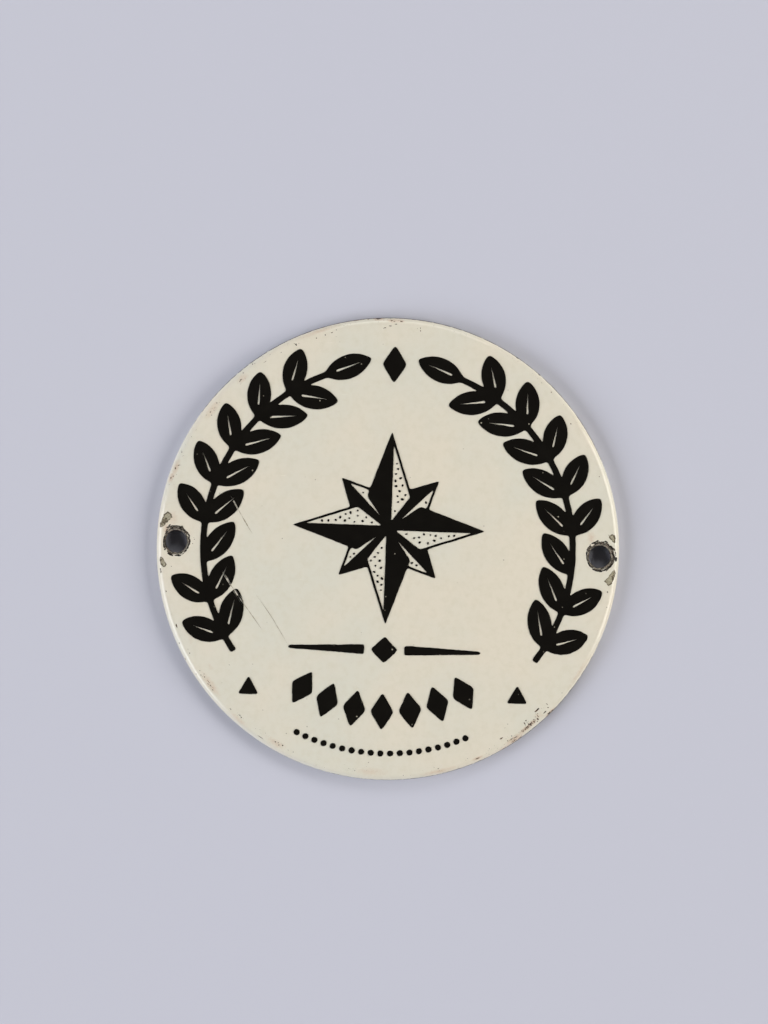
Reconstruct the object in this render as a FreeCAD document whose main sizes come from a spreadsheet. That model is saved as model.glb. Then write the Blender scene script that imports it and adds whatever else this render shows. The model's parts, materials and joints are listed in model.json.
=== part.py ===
import FreeCAD, Part
import math
import os
import Sketcher

# Enamelled steel door plate: a domed round plate with its rim turned down and two screw
# holes, and the black figures that are fired on its white face.
#
# The plate lies on the back edge of its rim. The origin is the middle of that edge, +Z
# points out of the face, +X runs through the two holes and +Y is the top of the design.

DOCUMENT = FreeCAD.newDocument("enamel_sign")

# Driving sizes in millimetres, and angles in degrees anticlockwise from +X.
DRIVING_SIZES = {
    # Pressed plate
    "plate_diameter": 75.0,
    "dome_rise": 2.0,
    "rim_depth": 2.2,
    "sheet_thickness": 1.0,
    "bend_inside": 0.2,
    "edge_round": 0.3,
    # Screw holes, with the ring round each where the enamel is gone
    "hole_diameter": 3.6,
    "hole_inset": 3.25,
    "bare_ring_width": 0.6,
    "face_coat": 0.2,
    # Black enamel
    "print_thickness": 0.07,
    # Two branches of leaves, which rise from the foot on both sides
    "wreath_inset": 7.7,
    "foot_angle": -30.5,
    "tip_angle": 67.7,
    "leaf_spacing": 6.4,
    "leaf_length": 8.2,
    "outer_leaf_length": 7.6,
    "leaf_width": 3.9,
    "leaf_lean": 42.0,
    "stem_width": 1.0,
    "stem_tail": 2.6,
    "stem_into_end_leaf": 1.6,
    "vein_start": 2.1,
    "vein_tip_gap": 1.7,
    "vein_width": 0.36,
    "hole_clearance": 1.5,
    # Lozenge between the tips of the branches
    "top_lozenge_length": 6.2,
    "top_lozenge_width": 4.0,
    # Eight-point star, four long points over four short ones
    "star_top_gap": 10.9,
    "star_bottom_gap": 4.1,
    "short_point_setback": 4.4,
    "star_shoulder": 6.2,
    "long_shoulder_angle": 36.0,
    "short_shoulder_angle": 27.0,
    "star_outline": 0.36,
    # Swelled rule under the star, with a lozenge at its middle
    "rule_gap": 10.0,
    "rule_start": 3.2,
    "rule_length": 12.3,
    "rule_thick_end": 1.6,
    "rule_thin_end": 0.5,
    "rule_lozenge": 4.4,
    # Curved row of lozenges
    "lozenge_row_inset": 11.3,
    "lozenge_count": 7,
    "lozenge_spacing": 4.53,
    "lozenge_length": 6.2,
    "lozenge_width": 3.8,
    # Arc of dots below it
    "dot_row_inset": 4.5,
    "dot_count": 19,
    "dot_spacing": 1.56,
    "dot_diameter": 1.0,
    # Small triangle at each side of the rows
    "triangle_inset": 6.1,
    "triangle_angle": -46.3,
    "triangle_width": 3.4,
    "triangle_height": 3.0,
}

sheet = DOCUMENT.addObject("Spreadsheet::Sheet", "sizes")
for row, (alias, value) in enumerate(DRIVING_SIZES.items(), start=1):
    sheet.set(f"A{row}", alias)
    sheet.set(f"B{row}", str(value))
    sheet.setAlias(f"B{row}", alias)
DOCUMENT.recompute()

# Sizes that follow from the driving ones, as expressions.
PLATE_RADIUS = "(sizes.plate_diameter / 2)"
CROWN = "(sizes.rim_depth + sizes.dome_rise)"
DOME_RADIUS = f"(({PLATE_RADIUS}^2 + sizes.dome_rise^2) / (2 * sizes.dome_rise))"
DOME_CENTRE = f"({CROWN} - {DOME_RADIUS})"
BEND_RADIUS = "(sizes.bend_inside + sizes.sheet_thickness)"
HOLE_PLACE = f"({PLATE_RADIUS} - sizes.hole_inset)"
FIGURE_HEIGHT = f"({CROWN} + sizes.sheet_thickness)"

# Sketcher's numbers for a line's ends, an arc's centre and the two axes. The origin is the
# start of the horizontal axis.
START, END, CENTRE = range(1, 4)
HORIZONTAL_AXIS, VERTICAL_AXIS = range(-1, -3, -1)
ORIGIN = HORIZONTAL_AXIS

UP = FreeCAD.Vector(0, 0, 1)
BOTTOM_ANGLE = -90


def number(expression):
    """Value of an expression, for the first guess of a sketch's geometry."""
    return float(sheet.evalExpression(expression))


def arc_degrees(length, radius):
    """Angle that an arc of this length has on this radius, as an expression."""
    return f"({length} / {radius} * 180 / pi)"


def hold(sketch, kind, places, expression):
    """Adds a dimension whose value follows an expression."""
    index = sketch.addConstraint(Sketcher.Constraint(kind, *places, number(expression)))
    sketch.setExpression(f"Constraints[{index}]", expression)


def hold_point(sketch, geometry, place, x, y):
    """Holds a point at x, y from the sketch's origin."""
    for kind, value, axis in (("DistanceX", x, VERTICAL_AXIS), ("DistanceY", y, HORIZONTAL_AXIS)):
        if value == "0":
            sketch.addConstraint(Sketcher.Constraint("PointOnObject", geometry, place, axis))
        else:
            hold(sketch, kind, (ORIGIN, START, geometry, place), value)


def join(sketch, first, first_place, second, second_place, kind="Coincident"):
    sketch.addConstraint(Sketcher.Constraint(kind, first, first_place, second, second_place))


def new_sketch(body, name, role="XY_Plane", x="0", y="0", turn="0"):
    """Sketch on one of the body's own origin planes, moved to x, y and turned in that plane."""
    sketch = body.newObject("Sketcher::SketchObject", name)
    plane = next(item for item in body.Origin.OriginFeatures if item.Role == role)
    sketch.AttachmentSupport = [(plane, "")]
    sketch.MapMode = "FlatFace"
    sketch.setExpression("AttachmentOffset.Base.x", x)
    sketch.setExpression("AttachmentOffset.Base.y", y)
    sketch.setExpression("AttachmentOffset.Rotation.Angle", turn)
    return sketch


def add_polygon(sketch, corners):
    """Closed polygon whose corners are pairs of expressions."""
    points = [FreeCAD.Vector(number(x), number(y), 0) for x, y in corners]
    first = sketch.GeometryCount
    for start, end in zip(points, points[1:] + points[:1]):
        sketch.addGeometry(Part.LineSegment(start, end))
    for step, (x, y) in enumerate(corners):
        previous = first + (step - 1) % len(corners)
        join(sketch, previous, END, first + step, START)
        hold_point(sketch, first + step, START, x, y)


def lozenge_corners(length, width):
    """Lozenge about the origin with its length along X."""
    half_length, half_width = f"{length} / 2", f"{width} / 2"
    return [(half_length, "0"), ("0", half_width), (f"-{half_length}", "0"), ("0", f"-{half_width}")]


# Enamelled plate

def plate_section(body):
    """Section of the sheet: the dome, the bend and the turned-down rim, in the plane x = 0."""
    sketch = new_sketch(body, "plate_section", "YZ_Plane")
    radius, bend, wall = number(PLATE_RADIUS), number(BEND_RADIUS), number("sizes.sheet_thickness")
    dome, dome_z = number(DOME_RADIUS), number(DOME_CENTRE)
    bend_x = radius - bend
    bend_z = dome_z + math.sqrt((dome - bend) ** 2 - bend_x ** 2)
    tangent_angle = math.atan2(bend_z - dome_z, bend_x)
    dome_middle = FreeCAD.Vector(0, dome_z, 0)
    bend_middle = FreeCAD.Vector(bend_x, bend_z, 0)

    def arc(middle, size, start, end):
        return sketch.addGeometry(Part.ArcOfCircle(Part.Circle(middle, UP, size), start, end))

    def line(x1, y1, x2, y2):
        ends = (FreeCAD.Vector(x1, y1, 0), FreeCAD.Vector(x2, y2, 0))
        return sketch.addGeometry(Part.LineSegment(*ends))

    outer_dome = arc(dome_middle, dome, tangent_angle, math.pi / 2)
    outer_bend = arc(bend_middle, bend, 0, tangent_angle)
    outer_wall = line(radius, bend_z, radius, 0)
    back_edge = line(radius, 0, radius - wall, 0)
    inner_wall = line(radius - wall, 0, radius - wall, bend_z)
    inner_bend = arc(bend_middle, bend - wall, 0, tangent_angle)
    inner_dome = arc(dome_middle, dome - wall, tangent_angle, math.pi / 2)
    axis = line(0, dome_z + dome - wall, 0, dome_z + dome)

    join(sketch, outer_dome, START, outer_bend, END, "Tangent")
    join(sketch, outer_bend, START, outer_wall, START, "Tangent")
    join(sketch, outer_wall, END, back_edge, START)
    join(sketch, back_edge, END, inner_wall, START)
    join(sketch, inner_wall, END, inner_bend, START, "Tangent")
    join(sketch, inner_bend, END, inner_dome, START, "Tangent")
    join(sketch, inner_dome, END, axis, START)
    join(sketch, axis, END, outer_dome, END)
    join(sketch, inner_dome, CENTRE, outer_dome, CENTRE)
    join(sketch, inner_bend, CENTRE, outer_bend, CENTRE)
    sketch.addConstraint(Sketcher.Constraint("Vertical", outer_wall))
    sketch.addConstraint(Sketcher.Constraint("PointOnObject", outer_dome, CENTRE, VERTICAL_AXIS))
    sketch.addConstraint(Sketcher.Constraint("PointOnObject", axis, START, VERTICAL_AXIS))
    hold_point(sketch, outer_dome, END, "0", CROWN)
    hold_point(sketch, outer_wall, END, PLATE_RADIUS, "0")
    hold_point(sketch, back_edge, END, f"{PLATE_RADIUS} - sizes.sheet_thickness", "0")
    hold(sketch, "Radius", (outer_dome,), DOME_RADIUS)
    hold(sketch, "Radius", (outer_bend,), BEND_RADIUS)
    return sketch


def plate_body():
    """Pressed sheet with its rounded back edge and its two holes."""
    body = DOCUMENT.addObject("PartDesign::Body", "pressed_plate")
    section = plate_section(body)
    pressing = body.newObject("PartDesign::Revolution", "pressing")
    pressing.Profile = section
    pressing.ReferenceAxis = (section, ["V_Axis"])
    DOCUMENT.recompute()

    back_edges = [
        f"Edge{index}"
        for index, edge in enumerate(pressing.Shape.Edges, start=1)
        if edge.BoundBox.ZMax < Part.Precision.confusion()
    ]
    rounding = body.newObject("PartDesign::Fillet", "rounded_back_edge")
    rounding.Base = (pressing, back_edges)
    rounding.setExpression("Radius", "sizes.edge_round")

    sketch = new_sketch(body, "screw_holes")
    for side in ("", "-"):
        hole = sketch.addGeometry(Part.Circle(FreeCAD.Vector(number(side + HOLE_PLACE), 0, 0), UP, 1))
        hold_point(sketch, hole, CENTRE, side + HOLE_PLACE, "0")
        hold(sketch, "Diameter", (hole,), "sizes.hole_diameter")
    holes = body.newObject("PartDesign::Pocket", "pierced_holes")
    holes.Profile = sketch
    holes.Type = "ThroughAll"
    holes.Reversed = True
    return body


def dome_ball(name, above):
    """Ball whose surface lies the given height above the dome; its poles are far from the face."""
    ball = DOCUMENT.addObject("Part::Sphere", name)
    ball.Placement.Rotation = FreeCAD.Rotation(FreeCAD.Vector(1, 0, 0), 90)
    ball.setExpression("Radius", f"{DOME_RADIUS} + {above}")
    ball.setExpression("Placement.Base.z", DOME_CENTRE)
    return ball


def enamelled_plate():
    """The plate, less the ring of enamel round each hole, which has gone down to the steel."""
    body = plate_body()
    cylinders = []
    for side, name in (("", "right_ring"), ("-", "left_ring")):
        ring = DOCUMENT.addObject("Part::Cylinder", name)
        ring.setExpression("Radius", "sizes.hole_diameter / 2 + sizes.bare_ring_width")
        ring.setExpression("Height", FIGURE_HEIGHT)
        ring.setExpression("Placement.Base.x", side + HOLE_PLACE)
        cylinders.append(ring)
    rings = DOCUMENT.addObject("Part::MultiFuse", "ring_cylinders")
    rings.Shapes = cylinders
    worn = DOCUMENT.addObject("Part::Cut", "worn_enamel")
    worn.Base = rings
    worn.Tool = dome_ball("steel_level", "-sizes.face_coat")
    plate = DOCUMENT.addObject("Part::Cut", "enamelled_plate")
    plate.Base = body
    plate.Tool = worn
    return plate


# Black figures, first as upright prisms

def add_pad(body, sketch, name):
    pad = body.newObject("PartDesign::Pad", name)
    pad.Profile = sketch
    pad.setExpression("Length", FIGURE_HEIGHT)
    return pad


def add_turned_copies(body, feature, axis, step, count):
    """Repeats a feature about an axis, in equal steps."""
    pattern = body.newObject("PartDesign::PolarPattern", f"{feature.Name}_row")
    pattern.Originals = [feature]
    pattern.Axis = axis
    pattern.Mode = "Spacing"
    pattern.setExpression("Offset", step)
    pattern.setExpression("Occurrences", count)
    body.Tip = pattern
    return pattern


def origin_feature(body, role):
    return (next(item for item in body.Origin.OriginFeatures if item.Role == role), [""])


def add_leaf(sketch, length):
    """Leaf from the origin along X: two arcs, with the slit of its midrib inside."""
    bow = f"(({length}^2 + sizes.leaf_width^2) / (4 * sizes.leaf_width))"
    size, reach = number(bow), number(length)
    drop = size - number("sizes.leaf_width") / 2
    opening = math.asin(reach / 2 / size)
    sides = []
    for middle_y, upright in ((-drop, math.pi / 2), (drop, -math.pi / 2)):
        circle = Part.Circle(FreeCAD.Vector(reach / 2, middle_y, 0), UP, size)
        sides.append(sketch.addGeometry(Part.ArcOfCircle(circle, upright - opening, upright + opening)))
        hold(sketch, "Radius", (sides[-1],), bow)
    over, under = sides
    join(sketch, over, END, under, START)
    join(sketch, over, START, under, END)
    hold_point(sketch, over, END, "0", "0")
    hold_point(sketch, over, START, length, "0")
    root, half_width = "sizes.vein_start", "sizes.vein_width / 2"
    vein_tip = f"{length} - sizes.vein_tip_gap"
    add_polygon(sketch, [(root, half_width), (root, f"-{half_width}"), (vein_tip, "0")])


def wreath_body():
    """Right-hand branch with a leaf each side of its stem at every station, and its mirror image."""
    body = DOCUMENT.addObject("PartDesign::Body", "wreath")
    radius = f"({PLATE_RADIUS} - sizes.wreath_inset)"
    span = "(sizes.tip_angle - sizes.foot_angle)"
    stations = f"round({span} / {arc_degrees('sizes.leaf_spacing', radius)})"
    step = f"({span} / {stations})"

    stem_start = f"(sizes.foot_angle - {arc_degrees('sizes.stem_tail', radius)})"
    sketch = new_sketch(body, "stem_section", "XZ_Plane")
    upright = FreeCAD.Rotation(FreeCAD.Vector(0, 1, 0), number(stem_start))
    sketch.AttachmentOffset = FreeCAD.Placement(FreeCAD.Vector(), upright)
    sketch.setExpression("AttachmentOffset.Rotation.Angle", stem_start)
    inside, outside = f"{radius} - sizes.stem_width / 2", f"{radius} + sizes.stem_width / 2"
    corners = [(inside, "0"), (outside, "0"), (outside, FIGURE_HEIGHT), (inside, FIGURE_HEIGHT)]
    add_polygon(sketch, corners)
    stem = body.newObject("PartDesign::Revolution", "stem")
    stem.Profile = sketch
    stem.ReferenceAxis = (sketch, ["V_Axis"])
    stem_end = f"(sizes.tip_angle + {arc_degrees('sizes.stem_into_end_leaf', radius)})"
    stem.setExpression("Angle", f"{stem_end} - {stem_start}")

    def leaf(name, station, lean, length):
        angle = f"(sizes.foot_angle + {station} * {step})"
        place = {"x": f"{radius} * cos({angle})", "y": f"{radius} * sin({angle})"}
        sketch = new_sketch(body, f"{name}_outline", turn=f"{angle} + 90 - ({lean})", **place)
        add_leaf(sketch, length)
        return add_pad(body, sketch, name)

    # The outer leaves leave out the stations whose leaf would come near the screw hole.
    hole_angle = f"(asin((sizes.hole_diameter / 2 + sizes.hole_clearance) / {HOLE_PLACE}) / 1 deg)"
    reach_along = "sizes.outer_leaf_length * cos(sizes.leaf_lean)"
    reach_out = f"({radius} + sizes.outer_leaf_length * sin(sizes.leaf_lean))"
    reach_angle = f"(atan({reach_along} / {reach_out}) / 1 deg)"
    last_below = f"floor((-{hole_angle} - {reach_angle} - sizes.foot_angle) / {step})"
    first_above = f"ceil(({hole_angle} - sizes.foot_angle) / {step})"
    rows = [
        ("inner_leaf", "0", "-sizes.leaf_lean", "sizes.leaf_length", stations),
        ("lower_outer_leaf", "0", "sizes.leaf_lean", "sizes.outer_leaf_length", f"{last_below} + 1"),
        ("upper_outer_leaf", first_above, "sizes.leaf_lean", "sizes.outer_leaf_length",
         f"{stations} - {first_above}"),
    ]
    for name, station, lean, length, count in rows:
        feature = leaf(name, station, lean, length)
        add_turned_copies(body, feature, origin_feature(body, "Z_Axis"), step, count)
    leaf("end_leaf", stations, "0", "sizes.leaf_length")
    DOCUMENT.recompute()

    both = body.newObject("PartDesign::Mirrored", "both_branches")
    both.TransformMode = "Whole shape"
    both.MirrorPlane = origin_feature(body, "YZ_Plane")
    body.Tip = both
    return body


def star_body():
    """Four long points over four short ones, each with a black half and an outlined white half."""
    body = DOCUMENT.addObject("PartDesign::Body", "star")
    rule_y = f"(sizes.rule_gap + sizes.lozenge_row_inset - {PLATE_RADIUS})"
    top = f"({PLATE_RADIUS} - sizes.wreath_inset - sizes.star_top_gap)"
    bottom = f"({rule_y} + sizes.star_bottom_gap)"
    reach = f"(({top} - {bottom}) / 2)"
    centre = f"(({top} + {bottom}) / 2)"
    rows = [
        ("short_point", f"({reach} - sizes.short_point_setback)", "sizes.short_shoulder_angle", "45"),
        ("long_point", reach, "sizes.long_shoulder_angle", "0"),
    ]
    for name, length, shoulder_angle, turn in rows:
        out = f"(sizes.star_shoulder * cos({shoulder_angle}))"
        across = f"(sizes.star_shoulder * sin({shoulder_angle}))"
        kite = new_sketch(body, f"{name}_outline", y=centre, turn=turn)
        add_polygon(kite, [("0", "0"), (out, f"-{across}"), (length, "0"), (out, across)])
        point = add_pad(body, kite, name)
        add_turned_copies(body, point, (kite, ["N_Axis"]), "90", "4")

        # White half: the triangle on one side of the point, drawn in by the outline's width.
        side = f"sqrt(({length} - {out})^2 + {across}^2)"
        rim = f"({length} + {side} + sizes.star_shoulder)"
        heart_x = f"(({length} * {out} + sizes.star_shoulder * {length}) / {rim})"
        heart_y = f"({length} * {across} / {rim})"
        kept = f"(1 - sizes.star_outline / {heart_y})"
        corners = [
            (f"{heart_x} + ({x} - {heart_x}) * {kept}", f"-({heart_y} + ({y} - {heart_y}) * {kept})")
            for x, y in (("0", "0"), (out, across), (length, "0"))
        ]
        white = new_sketch(body, f"{name}_white", y=centre, turn=turn)
        add_polygon(white, corners)
        cut = body.newObject("PartDesign::Pocket", f"{name}_white_half")
        cut.Profile = white
        cut.Type = "ThroughAll"
        cut.Reversed = True
        add_turned_copies(body, cut, (white, ["N_Axis"]), "90", "4")
    return body


def ornament_body():
    """Lozenges, swelled rule, dots and triangles."""
    body = DOCUMENT.addObject("PartDesign::Body", "ornaments")
    z_axis = origin_feature(body, "Z_Axis")

    sketch = new_sketch(body, "top_lozenge_outline", y=f"{PLATE_RADIUS} - sizes.wreath_inset", turn="90")
    add_polygon(sketch, lozenge_corners("sizes.top_lozenge_length", "sizes.top_lozenge_width"))
    add_pad(body, sketch, "top_lozenge")

    rule_y = f"sizes.rule_gap + sizes.lozenge_row_inset - {PLATE_RADIUS}"
    sketch = new_sketch(body, "rule_outline", y=rule_y)
    add_polygon(sketch, lozenge_corners("sizes.rule_lozenge", "sizes.rule_lozenge"))
    rule_end = "(sizes.rule_start + sizes.rule_length)"
    for side in ("", "-"):
        add_polygon(sketch, [
            (f"{side}sizes.rule_start", "-sizes.rule_thick_end / 2"),
            (side + rule_end, "-sizes.rule_thin_end / 2"),
            (side + rule_end, "sizes.rule_thin_end / 2"),
            (f"{side}sizes.rule_start", "sizes.rule_thick_end / 2"),
        ])
    add_pad(body, sketch, "rule")

    def bottom_row(name, inset, spacing, count, draw):
        """Row along an arc about the plate's middle, centred on its lowest point."""
        radius = f"({PLATE_RADIUS} - {inset})"
        step = arc_degrees(spacing, radius)
        first = f"({BOTTOM_ANGLE} - {step} * ({count} - 1) / 2)"
        place = {"x": f"{radius} * cos({first})", "y": f"{radius} * sin({first})"}
        sketch = new_sketch(body, f"{name}_outline", turn=first, **place)
        draw(sketch)
        feature = add_pad(body, sketch, name)
        add_turned_copies(body, feature, z_axis, step, count)

    def draw_lozenge(sketch):
        add_polygon(sketch, lozenge_corners("sizes.lozenge_length", "sizes.lozenge_width"))

    def draw_dot(sketch):
        dot = sketch.addGeometry(Part.Circle(FreeCAD.Vector(), UP, 1))
        hold_point(sketch, dot, CENTRE, "0", "0")
        hold(sketch, "Diameter", (dot,), "sizes.dot_diameter")

    rows = [
        ("lozenge", "lozenge_row_inset", "lozenge_spacing", "lozenge_count", draw_lozenge),
        ("dot", "dot_row_inset", "dot_spacing", "dot_count", draw_dot),
    ]
    for name, inset, spacing, count, draw in rows:
        bottom_row(name, f"sizes.{inset}", f"sizes.{spacing}", f"sizes.{count}", draw)

    triangle_radius = f"({PLATE_RADIUS} - sizes.triangle_inset)"
    half_base, half_height = "sizes.triangle_width / 2", "sizes.triangle_height / 2"
    for side, name in (("", "right_triangle"), ("-", "left_triangle")):
        place = {
            "x": f"{side}({triangle_radius} * cos(sizes.triangle_angle))",
            "y": f"{triangle_radius} * sin(sizes.triangle_angle)",
        }
        sketch = new_sketch(body, f"{name}_outline", **place)
        corners = [(f"-{half_base}", f"-{half_height}"), (half_base, f"-{half_height}"), ("0", half_height)]
        add_polygon(sketch, corners)
        add_pad(body, sketch, name)
    return body


def black_figures():
    """All prisms, trimmed to the thin layer that lies on the dome."""
    prisms = DOCUMENT.addObject("Part::MultiFuse", "figure_prisms")
    prisms.Shapes = [wreath_body(), star_body(), ornament_body()]
    layer = DOCUMENT.addObject("Part::Cut", "print_layer")
    layer.Base = dome_ball("print_level", "sizes.print_thickness")
    layer.Tool = dome_ball("face_level", "0")
    figures = DOCUMENT.addObject("Part::Common", "black_figures")
    figures.Base = prisms
    figures.Tool = layer
    return figures


sub_parts = [enamelled_plate(), black_figures()]
DOCUMENT.recompute()

for item in DOCUMENT.Objects:
    faults = {"Invalid", "Error"} & set(item.State)
    if faults:
        raise RuntimeError(f"{item.Label} is {faults}")

os.makedirs("parts", exist_ok=True)
for sub_part in sub_parts:
    shape = sub_part.Shape
    if shape.isNull() or not shape.isValid() or not shape.Solids:
        raise RuntimeError(f"{sub_part.Label} has no valid solid")
    shape.exportStep(f"parts/{sub_part.Label}.step")
    print(sub_part.Label, len(shape.Solids), "solids", round(shape.Volume, 2), "mm3")
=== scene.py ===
import json
import math
import random

import bmesh
import bpy
from mathutils import Euler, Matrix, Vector, noise
from mathutils.bvhtree import BVHTree


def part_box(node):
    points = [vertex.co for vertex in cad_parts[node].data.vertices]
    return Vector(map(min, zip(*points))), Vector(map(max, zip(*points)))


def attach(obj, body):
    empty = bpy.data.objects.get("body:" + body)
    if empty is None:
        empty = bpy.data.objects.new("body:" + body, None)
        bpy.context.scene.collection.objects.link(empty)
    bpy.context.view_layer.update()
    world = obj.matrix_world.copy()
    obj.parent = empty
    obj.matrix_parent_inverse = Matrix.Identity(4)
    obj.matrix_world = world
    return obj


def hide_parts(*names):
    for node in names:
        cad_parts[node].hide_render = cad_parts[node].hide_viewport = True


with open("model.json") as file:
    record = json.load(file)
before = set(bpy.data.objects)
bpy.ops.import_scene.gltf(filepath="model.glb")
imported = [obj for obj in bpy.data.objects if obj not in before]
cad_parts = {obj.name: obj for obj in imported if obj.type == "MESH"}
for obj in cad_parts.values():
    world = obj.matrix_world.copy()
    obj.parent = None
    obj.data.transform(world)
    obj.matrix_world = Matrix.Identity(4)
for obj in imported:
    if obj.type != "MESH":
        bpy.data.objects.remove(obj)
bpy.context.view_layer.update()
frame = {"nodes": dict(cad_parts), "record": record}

# Enamelled plate, the shape. One round steel sheet, domed and turned down at the rim in a
# single press stroke, with its cut edge rounded by the enamel. Its section is drawn from the
# crown outwards, round the rim and back under the dome, and turned about the middle.
MM = 0.001
plate_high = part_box("enamelled_plate")[1]
plate_radius = plate_high.x
crown = plate_high.z
sheet_thickness = 1.0 * MM
dome_rise = 2.0 * MM
bend_inside = 0.2 * MM
edge_round = 0.3 * MM
inner_radius = plate_radius - sheet_thickness
merge_distance = 0.001 * MM

dome_radius = (plate_radius ** 2 + dome_rise ** 2) / (2 * dome_rise)
dome_centre = crown - dome_radius
bend_radius = bend_inside + sheet_thickness
bend_middle = plate_radius - bend_radius
bend_height = dome_centre + math.sqrt((dome_radius - bend_radius) ** 2 - bend_middle ** 2)
dome_angle = math.atan2(bend_middle, bend_height - dome_centre)
bend_start = dome_radius * math.sin(dome_angle)
bend_angle = math.pi / 2 - dome_angle

# The face has shorter steps from here outwards, so that stains can be painted on its points.
fine_zone = 30 * MM
fine_zone_angle = math.asin(fine_zone / dome_radius)
wall_steps = 4
turn_steps = 288


def draw_arc(section, end, across, up, angle, steps):
    """Carries a section on from its end, along an arc about a middle in the plane y = 0."""
    middle = (across, 0, up)
    arc = bmesh.ops.spin(section, geom=[end], cent=middle, axis=(0, 1, 0), angle=angle, steps=steps)
    return arc["geom_last"][0]


def draw_line(section, end, across, up):
    """Carries a section on from its end, by a straight step."""
    line = bmesh.ops.extrude_vert_indiv(section, verts=[end])
    bmesh.ops.translate(section, verts=line["verts"], vec=(across, 0, up))
    return line["verts"][0]


shell = bmesh.new()
end = shell.verts.new((0, 0, crown))
end = draw_arc(shell, end, 0, dome_centre, fine_zone_angle, steps=22)
end = draw_arc(shell, end, 0, dome_centre, dome_angle - fine_zone_angle, steps=16)
end = draw_arc(shell, end, bend_middle, bend_height, bend_angle, steps=14)
for step in range(wall_steps):
    end = draw_line(shell, end, 0, (edge_round - bend_height) / wall_steps)
end = draw_arc(shell, end, plate_radius - edge_round, edge_round, math.pi / 2, steps=5)
end = draw_line(shell, end, 2 * edge_round - sheet_thickness, 0)
end = draw_arc(shell, end, inner_radius + edge_round, edge_round, math.pi / 2, steps=5)
end = draw_line(shell, end, 0, bend_height - edge_round)
end = draw_arc(shell, end, bend_middle, bend_height, -bend_angle, steps=4)
draw_arc(shell, end, 0, dome_centre, -dome_angle, steps=18)
profile = shell.verts[:] + shell.edges[:]
bmesh.ops.spin(shell, geom=profile, axis=(0, 0, 1), angle=math.tau, steps=turn_steps, use_merge=True)
bmesh.ops.remove_doubles(shell, verts=shell.verts, dist=merge_distance)
bmesh.ops.recalc_face_normals(shell, faces=shell.faces)

# The ivory covers the face and the outside of the rim down to the cut edge; everything that
# looks down or inwards is ground coat.
IVORY, GROUND_COAT, FLAKE, FLAKE_MARGIN, RUST, HOLE_STEEL, DIRT, BLACK_SCALE = range(8)
least_outwards = 0.5
for face in shell.faces:
    place = face.calc_center_median()
    outwards = Vector((place.x, place.y, 0)).normalized()
    faces_out = face.normal.z > 0 or face.normal.dot(outwards) > least_outwards
    face.material_index = IVORY if faces_out else GROUND_COAT


# Breaks in the enamel. Enamel is glass: round the screws it has crushed down to the steel, it
# has flaked at the rim beside them, and along the rim it has popped off in small pits that
# have rusted. Each break is a cutter whose floor follows the face at the depth of the break.
hole_pattern = frame["record"]["mounts"][0]["dims"]
hole_radius = hole_pattern["hole_r_mm"] * MM
hole_reach = hole_pattern["spacing_x_mm"] / 2 * MM
steel_depth = 0.2 * MM
side_slope = 0.03 * MM
small_break_slope = 0.3
cutter_clearance = 0.4 * MM


def face_height(x, y):
    """Height of the white face over a place: the dome, or the bend near the edge."""
    out = math.hypot(x, y)
    if out < bend_start:
        return dome_centre + math.sqrt(dome_radius ** 2 - out ** 2)
    return bend_height + math.sqrt(max(bend_radius ** 2 - (out - bend_middle) ** 2, 0))


def from_rim(degrees, inset):
    """Place at an angle anticlockwise from +X, so many millimetres in from the edge."""
    reach = plate_radius - inset * MM
    return Vector((reach * math.cos(math.radians(degrees)), reach * math.sin(math.radians(degrees)), 0))


def roughen(outline, step, amount):
    """Outline with points at every step, moved about unevenly as a broken edge is."""
    wave = 2.5 * step
    points = []
    for start, stop in zip(outline, outline[1:] + outline[:1]):
        count = max(1, round((stop - start).length / step))
        points += [start.lerp(stop, index / count) for index in range(count)]
    return [point + amount * noise.noise_vector(point / wave).to_3d() for point in points]


def add_break(cutters, outline, depth, material):
    """Adds a closed cutter under an outline on the face, with slightly sloping sides.

    Its floor is drawn in by the slope, or in a small break by a share of the way to the middle.
    """
    lid = cutters.faces.new([cutters.verts.new(point) for point in outline])
    grown = bmesh.ops.extrude_face_region(cutters, geom=[lid])
    floor = [item for item in grown["geom"] if isinstance(item, bmesh.types.BMVert)]
    middle = sum((vert.co for vert in floor), Vector()) / len(floor)
    for vert in floor:
        inwards = middle - vert.co
        vert.co += inwards.normalized() * min(side_slope, small_break_slope * inwards.length)
        vert.co.z = face_height(vert.co.x, vert.co.y) - depth
        for face in vert.link_faces:
            face.material_index = material
    for vert in lid.verts:
        vert.co.z = face_height(vert.co.x, vert.co.y) + cutter_clearance


def round_outline(middle, radius, points, uneven, along, turn, seed):
    """Uneven round outline, stretched by a factor along a direction."""
    waviness = 1.7
    noise_place = Vector((seed, 0.3, 7.1))
    outline = []
    for index in range(points):
        angle = math.tau * index / points
        way = Vector((math.cos(angle), math.sin(angle), 0))
        reach = radius * (1 + uneven * noise.noise(way * waviness + noise_place))
        spot = Vector((way.x * reach * along, way.y * reach, 0))
        spot.rotate(Euler((0, 0, turn)))
        outline.append(middle + spot)
    return outline


# Both kinds of chance have a fixed seed, so that every run gives the same plate.
chance = random.Random(60)
noise.seed_set(60)
breaks = bmesh.new()

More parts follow.
